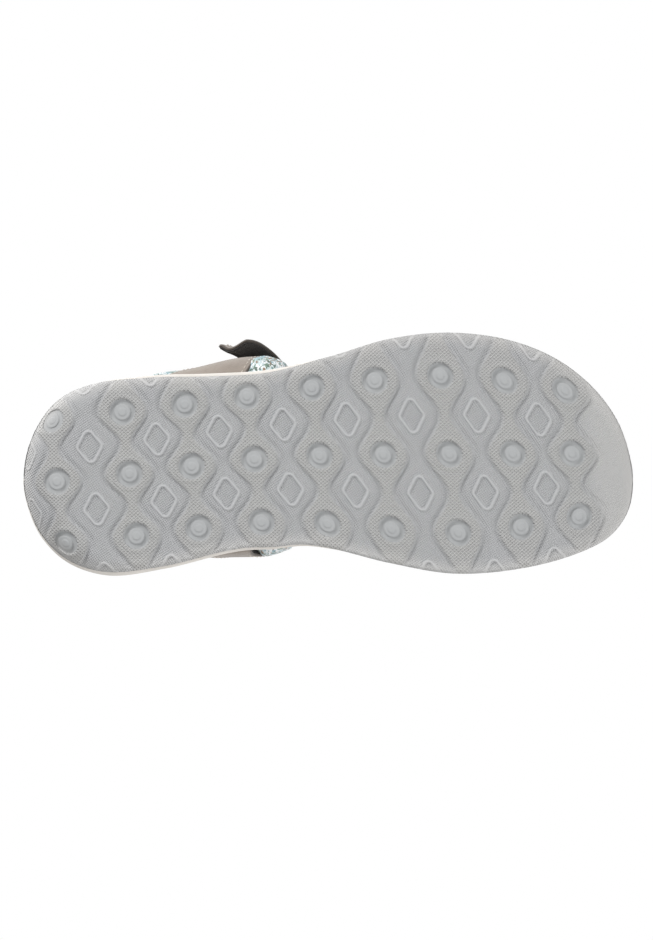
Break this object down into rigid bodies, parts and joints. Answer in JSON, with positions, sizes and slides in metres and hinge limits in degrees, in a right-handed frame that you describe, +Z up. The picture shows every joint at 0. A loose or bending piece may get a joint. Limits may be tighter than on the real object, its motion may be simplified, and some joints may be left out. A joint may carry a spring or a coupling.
{
  "type": "strappy sport sandal",
  "caption": "Strappy sport sandal for the right foot, with a studded moulded sole, a padded heel sling and hook-and-loop straps.",
  "frame": {"origin": "middle of the footprint, on the ground", "axes": "+X towards the toe, +Y to the inner (medial) side, +Z up"},
  "size_m": [0.2618, 0.1044, 0.0995],
  "materials": {
    "tread_rubber": "matt, fine moulded texture",
    "midsole_foam": "matt",
    "shank_steel": "brushed",
    "board": "matt fibre board",
    "footbed_foam": "matt foam",
    "gel": "satin",
    "microfibre": "suede-like",
    "nubuck": "nubuck",
    "print_textile": "printed textile",
    "lining": "brushed stretch lining",
    "hook_and_loop": "hook and loop tape"
  },
  "bodies": {
    "sandal": {"outsole": "tread_rubber", "midsole": "midsole_foam", "shank": "shank_steel", "insole_board": "board", "footbed": "footbed_foam", "heel_cushion": "gel", "footbed_cover": "microfibre", "heel_sling_outer": "print_textile", "heel_sling_padding": "footbed_foam", "heel_sling_lining": "lining", "middle_strap": "print_textile", "middle_strap_lining": "lining", "instep_strap_inner": "nubuck", "instep_strap_inner_lining": "lining", "instep_anchor": "nubuck", "instep_anchor_lining": "lining", "instep_loop_patch": "hook_and_loop", "front_strap_inner": "nubuck", "front_strap_inner_lining": "lining", "front_anchor": "nubuck", "front_anchor_lining": "lining", "front_loop_patch": "hook_and_loop"},
    "instep_flap": {"instep_flap": "nubuck", "instep_flap_backing": "hook_and_loop", "instep_hook_patch": "hook_and_loop"},
    "front_flap": {"front_flap": "nubuck", "front_flap_backing": "hook_and_loop", "front_hook_patch": "hook_and_loop"}
  },
  "joints": [
    {"name": "instep_flap_peel", "type": "hinge", "parent": "sandal", "child": "instep_flap", "pos_m": [-0.012, 0.01986, 0.08944], "axis": [-0.8657, 0.1442, 0.4794], "range_deg": [0, 110]},
    {"name": "front_flap_peel", "type": "hinge", "parent": "sandal", "child": "front_flap", "pos_m": [0.0655, 0.02344, 0.05415], "axis": [-0.9669, 0.091, 0.2385], "range_deg": [0, 110]}
  ]
}
